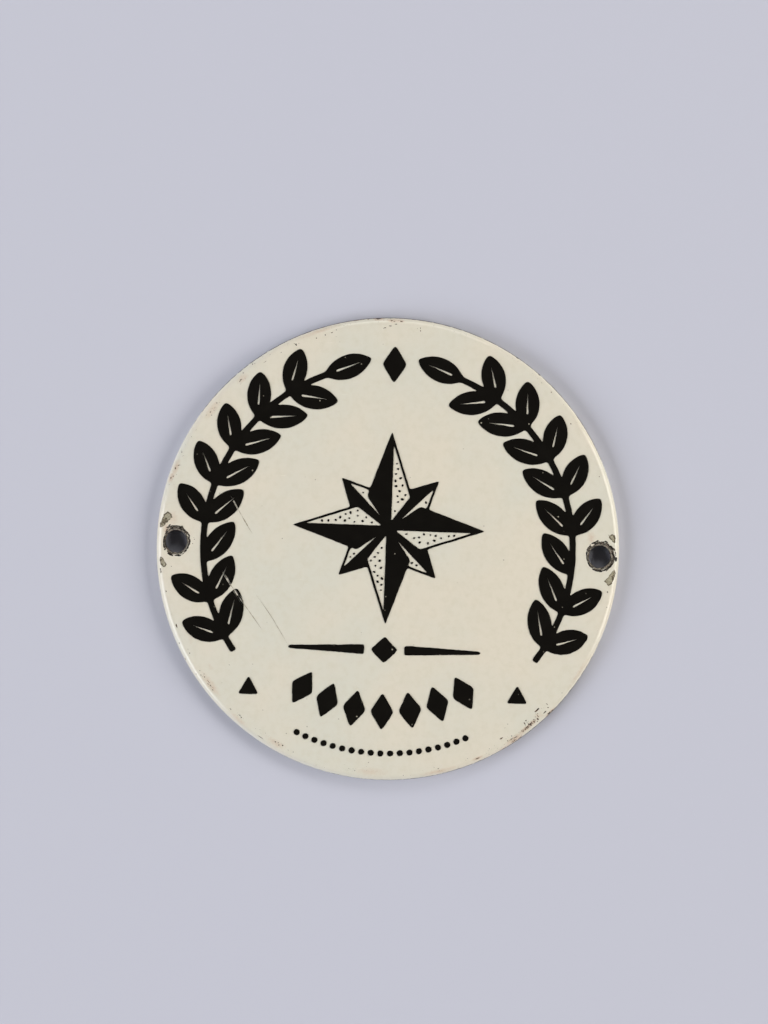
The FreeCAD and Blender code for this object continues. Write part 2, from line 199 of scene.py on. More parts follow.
# Crushed ring round each screw hole: angles anticlockwise from +X, and how far the ring goes
# there from the middle of the hole, in millimetres. Its inner part is bare all round, and its
# outer part is made of small chips, with crumbs of white left standing between them.
ring_reaches = {
    -1: [(0, 2.45), (40, 2.6), (70, 2.8), (115, 2.95), (135, 2.55), (150, 2.2), (190, 2.1), (215, 2.4),
         (240, 2.5), (290, 2.5), (325, 2.45), (360, 2.45)],
    1: [(0, 2.9), (30, 2.8), (45, 2.65), (70, 2.85), (80, 2.6), (95, 2.85), (125, 2.65), (160, 2.5),
        (195, 2.2), (215, 2.3), (250, 2.45), (300, 2.6), (340, 2.6), (360, 2.9)],
}
ring_chips = {-1: 85, 1: 125}
bare_share, bare_wander, wander_degrees = 0.5, 0.25, 17
chip_widths, chip_stretches, chip_depths = (0.08, 0.17), (1.0, 2.6), (0.5, 0.95)
hole_edge = hole_radius / MM


def value_at(table, place):
    """Value at an angle or a height, between the ones that a table gives."""
    for (low, first), (high, second) in zip(table, table[1:]):
        if low <= place <= high:
            return first + (second - first) * (place - low) / (high - low)


def round_hole(side, degrees, reach):
    """Place at an angle and a distance in millimetres from the middle of a screw hole."""
    angle = math.radians(degrees)
    return Vector((side * hole_reach + reach * MM * math.cos(angle), reach * MM * math.sin(angle), 0))


for side, reaches in ring_reaches.items():
    bare = []
    for degrees in range(0, 360, 6):
        span = value_at(reaches, degrees) - hole_edge
        wander = bare_wander * noise.noise(Vector((degrees / wander_degrees, side, 0.4)))
        bare.append(round_hole(side, degrees, hole_edge + span * (bare_share + wander)))
    add_break(breaks, roughen(bare, step=0.1 * MM, amount=0.07 * MM), steel_depth, HOLE_STEEL)
    for chip in range(ring_chips[side]):
        degrees = chance.uniform(0, 360)
        width = chance.uniform(*chip_widths)
        span = value_at(reaches, degrees) - width - hole_edge
        place = round_hole(side, degrees, hole_edge + span * chance.uniform(bare_share, 1.0))
        stretch = chance.uniform(*chip_stretches)
        turn = math.radians(degrees + 90)
        outline = round_outline(place, width * MM, points=9, uneven=0.6, along=stretch, turn=turn,
                                seed=chip)
        add_break(breaks, outline, chance.uniform(*chip_depths) * steel_depth, HOLE_STEEL)

# The edge of the screw's head has bitten broken arcs into the ring: the angles from and to which
# each goes, and its nearest and farthest distance from the middle of the hole.
bitten_arcs = {
    -1: [(236, 262, 2.2, 2.5), (266, 286, 2.2, 2.42), (150, 200, 1.95, 2.12), (60, 100, 2.35, 2.6),
         (320, 350, 2.1, 2.25)],
    1: [(238, 300, 2.2, 2.45), (304, 335, 2.2, 2.45), (30, 50, 2.2, 2.6), (62, 76, 2.5, 2.75),
        (100, 125, 2.35, 2.6), (205, 230, 2.05, 2.3), (345, 360, 2.5, 2.9), (160, 200, 2.1, 2.25)],
}
bite_depth = 1.15 * steel_depth
bite_steps = 12
bite_blunt, bite_fullness = 0.08, 0.6


def narrowed(share, blunt):
    """Width of a long mark at a share of its length: greatest in the middle, blunt at the ends."""
    return math.sin(math.pi * (blunt + (1 - 2 * blunt) * share))


for side, arcs in bitten_arcs.items():
    for start, stop, nearest, farthest in arcs:
        outside, inside = [], []
        for step in range(bite_steps + 1):
            share = step / bite_steps
            degrees = start + (stop - start) * share
            half = (farthest - nearest) / 2 * narrowed(share, bite_blunt) ** bite_fullness
            outside.append(round_hole(side, degrees, (nearest + farthest) / 2 + half))
            inside.append(round_hole(side, degrees, (nearest + farthest) / 2 - half))
        outline = roughen(outside + inside[::-1], step=0.1 * MM, amount=0.05 * MM)
        add_break(breaks, outline, bite_depth, BLACK_SCALE)

# Flakes beside the holes, as corners in millimetres from the middle of the hole. The margin
# has broken off higher than the middle and holds dirt.
flake_depth = 0.1 * MM
flake_margin_width = 0.22 * MM
flake_margin_depth = 0.7 * flake_depth
flake_edge_step = 0.12 * MM
flakes = {
    -1: [
        [(-1.5, 4.8), (-0.95, 4.5), (-0.65, 3.9), (-1.25, 3.35), (-1.6, 2.9), (-2.3, 2.2), (-2.75, 2.1),
         (-2.75, 2.7), (-2.4, 3.5), (-2.1, 4.3)],
        [(-2.45, -2.55), (-2.05, -2.7), (-1.8, -3.1), (-1.35, -3.8), (-1.5, -4.2), (-1.9, -4.3),
         (-2.3, -3.9), (-2.6, -3.1)],
        [(-2.5, -4.45), (-2.25, -4.45), (-2.15, -5.2), (-2.35, -5.3)],
    ],
    1: [
        [(1.2, 3.7), (1.45, 3.45), (1.9, 3.8), (2.3, 3.6), (2.5, 3.0), (2.4, 2.3), (2.0, 2.45), (1.7, 2.8),
         (1.45, 3.0)],
        [(2.45, -1.9), (2.7, -2.4), (2.5, -3.4), (2.1, -4.3), (1.6, -4.75), (1.15, -4.3), (0.75, -3.95),
         (1.2, -3.5), (1.7, -2.9), (2.1, -2.35)],
    ],
}
for side, outlines in flakes.items():
    for corners in outlines:
        outline = [Vector((side * hole_reach + x * MM, y * MM, 0)) for x, y in corners]
        middle = sum(outline, Vector()) / len(outline)
        inner = [point + (middle - point).normalized() * flake_margin_width for point in outline]
        ragged_outline = roughen(outline, flake_edge_step, amount=0.1 * MM)
        ragged_inner = roughen(inner, flake_edge_step, amount=0.13 * MM)
        add_break(breaks, ragged_outline, flake_margin_depth, FLAKE_MARGIN)
        add_break(breaks, ragged_inner, flake_depth, FLAKE)

# Single pits: angle round the rim, distance in from the edge, length and width in millimetres.
pits = [
    (-45.1, 2.05, 0.72, 0.25), (-44, 0.92, 0.48, 0.18), (-42.2, 1.6, 0.12, 0.32), (-42.6, 1.1, 0.18, 0.22),
    (-46.5, 0.85, 0.22, 0.36), (-46, 1.2, 0.14, 0.32), (-45.6, 1.55, 0.12, 0.1), (-46.5, 1.4, 0.1, 0.12),
    (-47, 0.6, 0.16, 0.14), (-49.8, 1.72, 0.2, 0.36), (-49.1, 1.95, 0.32, 0.14), (-43.4, 0.3, 0.5, 0.2),
    (-42.5, 0.2, 0.4, 0.18), (-57, 1.85, 0.52, 0.18), (-55.9, 0.95, 0.14, 0.26), (-54.4, 1.28, 0.18, 0.14),
    (-54.7, 2.98, 0.1, 0.1), (-37.5, 1, 0.14, 0.12), (-55, 0.85, 0.6, 0.1), (-53.8, 0.75, 0.5, 0.1),
    (-54.6, 0.35, 0.7, 0.1), (-52.9, 0.25, 0.6, 0.1), (-64.8, 0.67, 0.56, 0.12), (94.7, 0.22, 0.36, 0.22),
    (94.1, 0.18, 0.3, 0.16), (91.2, 0.62, 0.28, 0.12), (90.5, 0.74, 0.22, 0.12), (88.7, 0.67, 0.34, 0.14),
    (90, 1.15, 0.34, 0.12), (91.5, 1.46, 0.36, 0.14), (92.8, 1.75, 0.28, 0.14), (93.2, 1.85, 0.12, 0.1),
    (97, 0.14, 0.36, 0.18), (99.7, 0.12, 0.44, 0.14), (100.4, 0.14, 0.3, 0.12), (105.3, 1.15, 0.14, 0.12),
    (106.6, 1.4, 0.26, 0.14), (108.4, 1.46, 0.16, 0.2), (105.8, 2.19, 0.08, 0.08), (83.6, 1.86, 0.14, 0.2),
    (83.7, 1.43, 0.07, 0.28), (84.5, 1.57, 0.09, 0.09), (116.3, 1.29, 0.22, 0.32),
    (116.6, 1.05, 0.12, 0.14), (110.8, 1.54, 0.16, 0.2), (120.6, 1.37, 0.12, 0.14),
    (128.3, 0.45, 0.2, 0.16), (127.8, 0.6, 0.12, 0.12), (131.5, 0.67, 0.18, 0.14),
    (133.1, 1.27, 0.34, 0.18), (133.6, 1.38, 0.2, 0.14), (125.4, 1.33, 0.4, 0.06),
    (141.6, 1.17, 0.18, 0.16), (144.4, 1.28, 0.26, 0.12), (144.9, 1.74, 0.14, 0.12),
    (145.7, 1.05, 0.12, 0.12), (145.2, 2.86, 0.14, 0.07), (143.5, 1.6, 0.08, 0.12),
    (156.9, 0.69, 0.18, 0.16), (160.3, 1.1, 0.16, 0.18), (161.3, 0.75, 0.32, 0.16),
    (163.4, 0.85, 0.2, 0.16), (164, 0.6, 0.16, 0.14), (179.2, 6.25, 0.12, 0.12), (-179.5, 6, 0.14, 0.12),
    (178.7, 6.14, 0.08, 0.08), (-173.3, 2.41, 0.12, 0.12), (-167.1, 1.01, 0.26, 0.14),
    (-158, 1.16, 0.56, 0.18), (-153.6, 0.5, 0.18, 0.14), (-151.3, 1.36, 0.12, 0.1),
    (-150.2, 1.33, 0.2, 0.14), (-149.4, 0.18, 0.3, 0.1), (-145, 1.32, 0.16, 0.14),
    (-144.8, 0.48, 0.16, 0.12), (-143.9, 1.06, 0.18, 0.14), (-143.7, 1.6, 0.14, 0.12),
    (-143, 1.37, 0.2, 0.14), (-141, 1.17, 0.18, 0.16), (-140.4, 1.33, 0.22, 0.14),
    (-141.5, 1.46, 0.5, 0.07), (-139.1, 1.18, 0.2, 0.16), (-141.8, 5.8, 0.12, 0.1),
    (-137.5, 8.89, 0.12, 0.1), (-132.4, 1.23, 0.28, 0.1), (-129.6, 1.53, 0.2, 0.14),
    (-128.9, 1.41, 0.18, 0.18), (-125.7, 4.59, 0.12, 0.12), (-118.2, 1.45, 0.26, 0.18),
    (-117.4, 1.53, 0.16, 0.14), (-117, 1.25, 0.2, 0.16), (-116.1, 1.5, 0.28, 0.18),
    (-114.3, 1.23, 0.12, 0.1), (-112.9, 1.31, 0.14, 0.12), (-122, 0.77, 0.9, 0.07), (-9, 1.35, 0.22, 0.18),
    (-4, 3.1, 0.22, 0.14), (36.5, 1.7, 0.2, 0.18), (45.9, 0.9, 0.16, 0.16), (49.3, 0.93, 0.1, 0.1),
    (51.1, 0.22, 0.26, 0.1), (58, 0.18, 0.26, 0.1), (21, 1.4, 0.16, 0.14), (-96.4, 1.3, 0.14, 0.12),
    (-98, 1.5, 0.1, 0.1), (-75, 1.1, 0.22, 0.12), (-61, 1.3, 0.12, 0.12), (88, 6.88, 0.12, 0.1),
]
pit_growth = 1.35
pit_depth = 0.08 * MM
for index, (degrees, inset, length, width) in enumerate(pits):
    radius = pit_growth * width / 2 * MM
    turn = math.radians(degrees + 90)
    outline = round_outline(from_rim(degrees, inset), radius, points=10, uneven=0.45,
                            along=length / width, turn=turn, seed=index)
    add_break(breaks, outline, pit_depth, RUST)

# Showers of fine pits: angles and insets between which they lie, how many, and the largest.
showers = [
    (-51.6, -49.3, 0.7, 1.1, 26, 0.2), (-49.3, -47.2, 0.8, 1.25, 26, 0.22),
    (-50.2, -48.8, 1.2, 2.1, 9, 0.14), (-47.2, -43, 0.4, 1.9, 16, 0.12), (-58.6, -52, 0.1, 1.6, 14, 0.12),
    (-143.6, -137.8, 1.05, 1.6, 12, 0.1), (-131, -127.5, 1.2, 1.6, 10, 0.1),
    (88.2, 95.5, 0.1, 0.8, 12, 0.14), (131.5, 134, 1.1, 1.9, 8, 0.1), (141, 146, 0.9, 1.8, 12, 0.1),
    (-100, -90, 1, 2.4, 12, 0.08), (150, 166, 0.4, 1.4, 14, 0.12), (40, 82, 0.3, 0.9, 22, 0.09),
    (-36, 36, 0.5, 1.2, 12, 0.08), (-125, -102, 0.5, 1.8, 14, 0.09), (-88, -56, 0.4, 1.6, 26, 0.11),
    (100, 128, 0.3, 0.8, 20, 0.1),
]
shower_sizes, shower_stretches = (0.45, 1.0), (1, 1.8)
shower_depth = 0.06 * MM
for low, high, shallow, deep, count, largest in showers:
    for pit in range(count):
        place = from_rim(chance.uniform(low, high), chance.uniform(shallow, deep))
        size = chance.uniform(*shower_sizes) * largest / 2 * MM
        turn = chance.uniform(0, math.pi)
        stretch = chance.uniform(*shower_stretches)
        outline = round_outline(place, size, points=7, uneven=0.4, along=stretch, turn=turn, seed=pit)
        add_break(breaks, outline, shower_depth, RUST)

# Scratches: something hard was drawn over the left side and left fine lines in the white that
# have taken up dirt. Each has its points in millimetres and a greatest width.
scratches_in_white = [
    ([(-24.5, 5.8), (-23.4, 4.0), (-21.9, 1.7)], 0.2),
    ([(-25.3, -6.4), (-24.3, -7.8)], 0.12),
    ([(-23.4, -9.0), (-21.6, -11.3), (-19.7, -13.8)], 0.13),
    ([(-20.9, -8.1), (-18.2, -11.7), (-15.6, -15.8)], 0.1),
]
white_scratch_depth = 0.03 * MM
scratch_steps, scratch_blunt = 22, 0.04
scratch_mean, scratch_swing, scratch_wave = 0.7, 0.9, 0.5 * MM


def scratch_outline(points, width, aside=0.0):
    """Long thin outline along points in millimetres, widest in its middle."""
    line = [Vector((x, y, 0)) * MM for x, y in points]
    left, right = [], []
    for index in range(scratch_steps + 1):
        share = index / scratch_steps
        run = share * (len(line) - 1)
        knot = min(int(run), len(line) - 2)
        along = line[knot + 1] - line[knot]
        across = Vector((-along.y, along.x, 0)).normalized()
        spot = line[knot].lerp(line[knot + 1], run - knot) + across * aside * MM
        uneven = scratch_mean + scratch_swing * noise.noise(spot / scratch_wave)
        half = 0.5 * width * MM * uneven * narrowed(share, scratch_blunt)
        left.append(spot + across * half)
        right.append(spot - across * half)
    return left + right[::-1]


for points, width in scratches_in_white:
    add_break(breaks, scratch_outline(points, width), white_scratch_depth, DIRT)
bmesh.ops.recalc_face_normals(breaks, faces=breaks.faces)

# Bores: what the punch took out for the screws, drawn long enough to go right through.
bores = bmesh.new()
for side in (-1, 1):
    bore = bmesh.ops.create_cone(bores, cap_ends=True, segments=96, radius1=hole_radius,
                                 radius2=hole_radius, depth=4 * crown)
    bmesh.ops.translate(bores, verts=bore["verts"], vec=(side * hole_reach, 0, 0))
for face in bores.faces:
    face.material_index = HOLE_STEEL


def linear(hex_colour):
    """Scene-linear colour of an sRGB hex colour."""
    shares = [int(hex_colour[start:start + 2], 16) / 255 for start in (1, 3, 5)]
    levels = [share / 12.92 if share <= 0.04045 else ((share + 0.055) / 1.055) ** 2.4 for share in shares]
    return levels + [1]


def new_material(name):
    """Empty material and its node tree."""
    material = bpy.data.materials.new(name)
    material.use_nodes = True
    material.node_tree.nodes.clear()
    return material, material.node_tree


def add_node(tree, kind, values=None, links=None, **settings):
    """Adds a node with its settings, the values on its sockets and the links into them."""
    added = tree.nodes.new(kind)
    for name, value in settings.items():
        setattr(added, name, value)
    for socket, value in (values or {}).items():
        added.inputs[socket].default_value = value
    for socket, source in (links or {}).items():
        tree.links.new(source, added.inputs[socket])
    return added


def places_in_mm(tree):
    """Places on the plate in millimetres, so that a pattern's scale is one over a real size."""
    place = add_node(tree, "ShaderNodeTexCoord").outputs["Object"]
    scaled = add_node(tree, "ShaderNodeMapping", {"Scale": (1 / MM, 1 / MM, 1 / MM)}, {"Vector": place})
    return scaled.outputs["Vector"]


def finish_material(tree, surface):
    """Ends a material with its surface."""
    add_node(tree, "ShaderNodeOutputMaterial", links={"Surface": surface.outputs["BSDF"]})


def pinholes(tree, in_mm, spacing, dot, chosen, strength):
    """How much a pinhole shows: a dot in the chosen cells, its size a share of their spacing."""
    cells = add_node(tree, "ShaderNodeTexVoronoi", {"Scale": 1 / spacing}, {"Vector": in_mm})
    within = add_node(tree, "ShaderNodeMapRange", {"From Min": dot[0], "From Max": dot[1]},
                      {"Value": cells.outputs["Distance"]})
    mark = add_node(tree, "ShaderNodeSeparateColor", links={"Color": cells.outputs["Color"]})
    share = add_node(tree, "ShaderNodeMapRange",
                     {"From Min": chosen[0], "From Max": chosen[1], "To Max": strength},
                     {"Value": mark.outputs["Red"]})
    shown = add_node(tree, "ShaderNodeMath", links={0: within.outputs["Result"], 1: share.outputs["Result"]},
                     operation="MULTIPLY")
    return shown.outputs["Value"]


# Numbers of a Mix node's sockets for its two colours, and of its output for the mixed one.
FIRST, SECOND, MIXED = 6, 7, 2

# Vitreous enamel, ivory: sprayed as a slip, dried and fired to glass. It gives a smooth gloss
# with a faint ripple, clouds of slightly warmer and cooler white, a few dark pinholes, dull
# rubbed streaks, and brownish stains where rust has crept out of the breaks. The sizes of these
# patterns, and of those below, are in millimetres.
cloud_size, mottle_size, blotch_size, speckle_size, ragged_size, ripple_size = 14, 1.1, 0.5, 0.3, 0.6, 3.5
ivory_enamel, tree = new_material("vitreous_enamel_ivory")
in_mm = places_in_mm(tree)
clouds = add_node(tree, "ShaderNodeTexNoise", {"Scale": 1 / cloud_size, "Detail": 3}, {"Vector": in_mm})
cloud_share = add_node(tree, "ShaderNodeMapRange", {"From Min": 0.35, "From Max": 0.65},
                       {"Value": clouds.outputs["Fac"]})
body_colour = add_node(tree, "ShaderNodeMix", {FIRST: linear("#D9D7CA"), SECOND: linear("#DFD8C8")},
                       {"Factor": cloud_share.outputs["Result"]}, data_type="RGBA")
mottle = add_node(tree, "ShaderNodeTexNoise", {"Scale": 1 / mottle_size, "Detail": 4, "Roughness": 0.65},
                  {"Vector": in_mm})
mottle_share = add_node(tree, "ShaderNodeMapRange", {"From Min": 0.45, "From Max": 0.75, "To Max": 0.35},
                        {"Value": mottle.outputs["Fac"]})
mottled = add_node(tree, "ShaderNodeMix", {SECOND: linear("#CFC9B4")},
                   {"Factor": mottle_share.outputs["Result"], FIRST: body_colour.outputs[MIXED]},
                   data_type="RGBA")
# Pinholes: about one cell in three has a dot of 0.1 to 0.2 mm.
in_pinholes = pinholes(tree, in_mm, spacing=1.7, dot=(0.07, 0.035), chosen=(0.62, 0.95), strength=0.7)
pinholed = add_node(tree, "ShaderNodeMix", {SECOND: linear("#6E6350")},
                    {"Factor": in_pinholes, FIRST: mottled.outputs[MIXED]}, data_type="RGBA")
# Stains: the painted share says where, and fine noise breaks them up.
stain = add_node(tree, "ShaderNodeAttribute", attribute_name="stain").outputs["Fac"]
blotches = add_node(tree, "ShaderNodeTexNoise", {"Scale": 1 / blotch_size, "Detail": 5, "Roughness": 0.7},
                    {"Vector": in_mm})
stained = add_node(tree, "ShaderNodeMath", links={0: stain, 1: blotches.outputs["Fac"]},
                   operation="MULTIPLY")
pale_stain = add_node(tree, "ShaderNodeMapRange", {"From Min": 0.12, "From Max": 0.4, "To Max": 0.55},
                      {"Value": stained.outputs["Value"]})
speckle = add_node(tree, "ShaderNodeTexNoise", {"Scale": 1 / speckle_size, "Detail": 3, "Roughness": 0.6},
                   {"Vector": in_mm})
speckled = add_node(tree, "ShaderNodeMath", links={0: stain, 1: speckle.outputs["Fac"]},
                    operation="MULTIPLY")
brown_stain = add_node(tree, "ShaderNodeMapRange", {"From Min": 0.44, "From Max": 0.54, "To Max": 0.85},
                       {"Value": speckled.outputs["Value"]})
tinted = add_node(tree, "ShaderNodeMix", {SECOND: linear("#C9AC94")},
                  {"Factor": pale_stain.outputs["Result"], FIRST: pinholed.outputs[MIXED]}, data_type="RGBA")
browned = add_node(tree, "ShaderNodeMix", {SECOND: linear("#66503A")},
                   {"Factor": brown_stain.outputs["Result"], FIRST: tinted.outputs[MIXED]}, data_type="RGBA")
# At the sharp turn of the rim the glass draws back and the dark coat shows through it. The same dark
# also paints shade there: the shadow along the rim's edge and foot, strongest where the edge is unlit.
thin_and_shade = add_node(tree, "ShaderNodeAttribute", attribute_name="thin_enamel_and_painted_shade").outputs["Fac"]
ragged = add_node(tree, "ShaderNodeTexNoise", {"Scale": 1 / ragged_size, "Detail": 4}, {"Vector": in_mm})
thinned_and_shaded = add_node(tree, "ShaderNodeMath", links={0: thin_and_shade, 1: ragged.outputs["Fac"]}, operation="MULTIPLY")
worn_through_and_shaded = add_node(tree, "ShaderNodeMapRange", {"From Min": 0.22, "From Max": 0.38},
                        {"Value": thinned_and_shaded.outputs["Value"]})
face_colour = add_node(tree, "ShaderNodeMix", {SECOND: linear("#2B2622")},
                       {"Factor": worn_through_and_shaded.outputs["Result"], FIRST: browned.outputs[MIXED]},
                       data_type="RGBA")
# Rubbed streaks: noise drawn out along one direction, dull and faint.
slanted = add_node(tree, "ShaderNodeMapping", {"Rotation": (0, 0, 0.9), "Scale": (0.35, 3.2, 1)},
                   {"Vector": in_mm})
streaks = add_node(tree, "ShaderNodeTexNoise", {"Scale": 1, "Detail": 3},
                   {"Vector": slanted.outputs["Vector"]})
gloss = add_node(tree, "ShaderNodeMapRange",
                 {"From Min": 0.55, "From Max": 0.8, "To Min": 0.13, "To Max": 0.32},
                 {"Value": streaks.outputs["Fac"]})
ripple = add_node(tree, "ShaderNodeTexNoise", {"Scale": 1 / ripple_size, "Detail": 2}, {"Vector": in_mm})
relief = add_node(tree, "ShaderNodeBump", {"Strength": 0.25, "Distance": 0.02 * MM},
                  {"Height": ripple.outputs["Fac"]})
finish_material(tree, add_node(tree, "ShaderNodeBsdfPrincipled", {"IOR": 1.52}, {
    "Base Color": face_colour.outputs[MIXED],
    "Roughness": gloss.outputs["Result"],
    "Normal": relief.outputs["Normal"],
}))

# Ground coat: the first dip, almost black with cobalt, fired on both sides. It gives a dark
# blue-grey gloss with pale flecks, rougher than the face.
fleck_size = 0.9
ground_coat, tree = new_material("ground_coat_dark")
flecks = add_node(tree, "ShaderNodeTexNoise", {"Scale": 1 / fleck_size, "Detail": 6, "Roughness": 0.7},
                  {"Vector": places_in_mm(tree)})
fleck_share = add_node(tree, "ShaderNodeMapRange", {"From Min": 0.5, "From Max": 0.72},
                       {"Value": flecks.outputs["Fac"]})
coat_colour = add_node(tree, "ShaderNodeMix", {FIRST: linear("#26282D"), SECOND: linear("#5A5D62")},
                       {"Factor": fleck_share.outputs["Result"]}, data_type="RGBA")
pimples = add_node(tree, "ShaderNodeBump", {"Strength": 0.4, "Distance": 0.03 * MM},
                   {"Height": flecks.outputs["Fac"]})
finish_material(tree, add_node(tree, "ShaderNodeBsdfPrincipled", {"Roughness": 0.28, "IOR": 1.52}, {
    "Base Color": coat_colour.outputs[MIXED],
    "Normal": pimples.outputs["Normal"],
}))


def broken_finish(name, grain_size, detail, colours, meet, roughness, uneven=0.5, crumbled=0.0):
    """Matt finish of a break: two colours, which meet between two levels of its grain."""
    material, tree = new_material(name)
    grain = add_node(tree, "ShaderNodeTexNoise",
                     {"Scale": 1 / grain_size, "Detail": detail, "Roughness": uneven},
                     {"Vector": places_in_mm(tree)})
    share = add_node(tree, "ShaderNodeMapRange", {"From Min": meet[0], "From Max": meet[1]},
                     {"Value": grain.outputs["Fac"]})
    colour = add_node(tree, "ShaderNodeMix", {FIRST: linear(colours[0]), SECOND: linear(colours[1])},
                      {"Factor": share.outputs["Result"]}, data_type="RGBA")
    links = {"Base Color": colour.outputs[MIXED]}
    if crumbled:
        crumbs = add_node(tree, "ShaderNodeBump", {"Strength": crumbled, "Distance": 0.04 * MM},
                          {"Height": grain.outputs["Fac"]})
        links["Normal"] = crumbs.outputs["Normal"]
    finish_material(tree, add_node(tree, "ShaderNodeBsdfPrincipled", {"Roughness": roughness}, links))
    return material


# Flaked enamel: the broken lower part of the glass, matt khaki grey with a darker grain.
flaked_enamel = broken_finish("flaked_enamel_khaki", 0.35, 5, ("#ACA691", "#878169"), (0.4, 0.68),
                              roughness=0.65, uneven=0.7, crumbled=0.6)

# Margin of a flake: the same broken glass with dirt in it, speckled dark.
flake_margin = broken_finish("flaked_enamel_dirty", 0.3, 3, ("#9C937C", "#564B39"), (0.4, 0.52),
                             roughness=0.75, uneven=0.6)

# Rust in the pits: matt, in patches from almost black to brown.
pit_rust = broken_finish("rust_in_pits", 0.4, 4, ("#2C2218", "#624832"), (0.38, 0.62), roughness=0.8)

# Black scale in the bitten arcs: matt, with a little brown where it has rusted.
black_scale = broken_finish("scale_black", 0.3, 4, ("#100E0C", "#3C2D22"), (0.52, 0.7), roughness=0.7)

# Steel round the holes and in their walls: black scale, cracked glass and brown rust in rings
# about the hole, rubbed bright in a thin broken line at the lip, where the screw's head turned.
rust_patch_size = 0.35
hole_steel, tree = new_material("pierced_steel_rusted")
in_mm = places_in_mm(tree)
axes = add_node(tree, "ShaderNodeSeparateXYZ", links={"Vector": in_mm})
either_side = add_node(tree, "ShaderNodeMath", links={0: axes.outputs["X"]}, operation="ABSOLUTE")
from_hole = add_node(tree, "ShaderNodeMath", {1: hole_reach / MM}, {0: either_side.outputs["Value"]},
                     operation="SUBTRACT")
hole_plane = add_node(tree, "ShaderNodeCombineXYZ", links={"X": from_hole.outputs["Value"],
                                                           "Y": axes.outputs["Y"]})
hole_distance = add_node(tree, "ShaderNodeVectorMath", links={0: hole_plane.outputs["Vector"]},
                         operation="LENGTH")
# Rings: the direction from the hole changes slowly and the distance fast, so the noise runs round.
direction = add_node(tree, "ShaderNodeVectorMath", links={0: hole_plane.outputs["Vector"]},
                     operation="NORMALIZE")
bearing = add_node(tree, "ShaderNodeSeparateXYZ", links={"Vector": direction.outputs["Vector"]})
around = add_node(tree, "ShaderNodeCombineXYZ", links={"X": bearing.outputs["X"], "Y": bearing.outputs["Y"],
                                                       "Z": hole_distance.outputs["Value"]})
drawn_round = add_node(tree, "ShaderNodeMapping", {"Scale": (5.5, 5.5, 6.5)},
                       {"Vector": around.outputs["Vector"]})
cracks = add_node(tree, "ShaderNodeTexNoise", {"Scale": 1, "Detail": 4, "Roughness": 0.6},
                  {"Vector": drawn_round.outputs["Vector"]})
scale_noise = add_node(tree, "ShaderNodeTexNoise", {"Scale": 1 / rust_patch_size, "Detail": 5,
                                                    "Roughness": 0.65}, {"Vector": in_mm})
crushed_share = add_node(tree, "ShaderNodeMapRange", {"From Min": 0.4, "From Max": 0.54},
                         {"Value": cracks.outputs["Fac"]})
rust_share = add_node(tree, "ShaderNodeMapRange", {"From Min": 0.42, "From Max": 0.62},
                      {"Value": scale_noise.outputs["Fac"]})
crushed_tone = add_node(tree, "ShaderNodeMix", {FIRST: linear("#8A8273"), SECOND: linear("#6B4F3E")},
                        {"Factor": rust_share.outputs["Result"]}, data_type="RGBA")
scale_tone = add_node(tree, "ShaderNodeMix", {SECOND: linear("#14110E")},
                      {"Factor": crushed_share.outputs["Result"], FIRST: crushed_tone.outputs[MIXED]},
                      data_type="RGBA")
# The lip is rubbed bright between 0.1 and 0.23 mm outside the edge of the hole.
lip_outside = add_node(tree, "ShaderNodeMapRange",
                       {"From Min": hole_edge + 0.26, "From Max": hole_edge + 0.2},
                       {"Value": hole_distance.outputs["Value"]})
lip_inside = add_node(tree, "ShaderNodeMapRange",
                      {"From Min": hole_edge + 0.08, "From Max": hole_edge + 0.13},
                      {"Value": hole_distance.outputs["Value"]})
lip = add_node(tree, "ShaderNodeMath",
               links={0: lip_outside.outputs["Result"], 1: lip_inside.outputs["Result"]},
               operation="MULTIPLY")
rubbed = add_node(tree, "ShaderNodeMapRange", {"From Min": 0.47, "From Max": 0.55},
                  {"Value": scale_noise.outputs["Fac"]})
bright = add_node(tree, "ShaderNodeMath", links={0: lip.outputs["Value"], 1: rubbed.outputs["Result"]},
                  operation="MULTIPLY")
steel_tone = add_node(tree, "ShaderNodeMix", {SECOND: linear("#B8B4A8")},
                      {"Factor": bright.outputs["Value"], FIRST: scale_tone.outputs[MIXED]},
                      data_type="RGBA")
pitted = add_node(tree, "ShaderNodeBump", {"Strength": 0.7, "Distance": 0.05 * MM},
                  {"Height": scale_noise.outputs["Fac"]})
finish_material(tree, add_node(tree, "ShaderNodeBsdfPrincipled", {"Roughness": 0.5}, {
    "Base Color": steel_tone.outputs[MIXED],
    "Metallic": bright.outputs["Value"],
    "Normal": pitted.outputs["Normal"],
}))

# Dirt in the scratches: a brownish grey line in the white.
scratch_dirt, tree = new_material("dirt_in_scratches")
finish_material(tree, add_node(tree, "ShaderNodeBsdfPrincipled", {
    "Base Color": linear("#9C9079"),
    "Roughness": 0.7,
}))

plate_finishes = [ivory_enamel, ground_coat, flaked_enamel, flake_margin, pit_rust, hole_steel,
                  scratch_dirt, black_scale]


def new_piece(name, mesh, finishes):
    """Object at the origin from a bmesh, with its materials in order."""
    data = bpy.data.meshes.new(name)
    mesh.to_mesh(data)
    mesh.free()
    for finish in finishes:
        data.materials.append(finish)
    piece = bpy.data.objects.new(name, data)
    bpy.context.scene.collection.objects.link(piece)
    return piece


def cut_away(piece, cutter, own_overlaps):
    """Cuts a closed cutter out of a piece, and the cutter's faces keep their material."""
    cut = piece.modifiers.new("cut", "BOOLEAN")
    cut.operation = "DIFFERENCE"
    cut.object = cutter
    cut.solver = "EXACT"
    cut.use_self = own_overlaps
    bpy.context.view_layer.update()
    shaped = bpy.data.meshes.new_from_object(piece.evaluated_get(bpy.context.evaluated_depsgraph_get()))
    piece.modifiers.remove(cut)
    piece.data = shaped
    bpy.data.objects.remove(cutter)


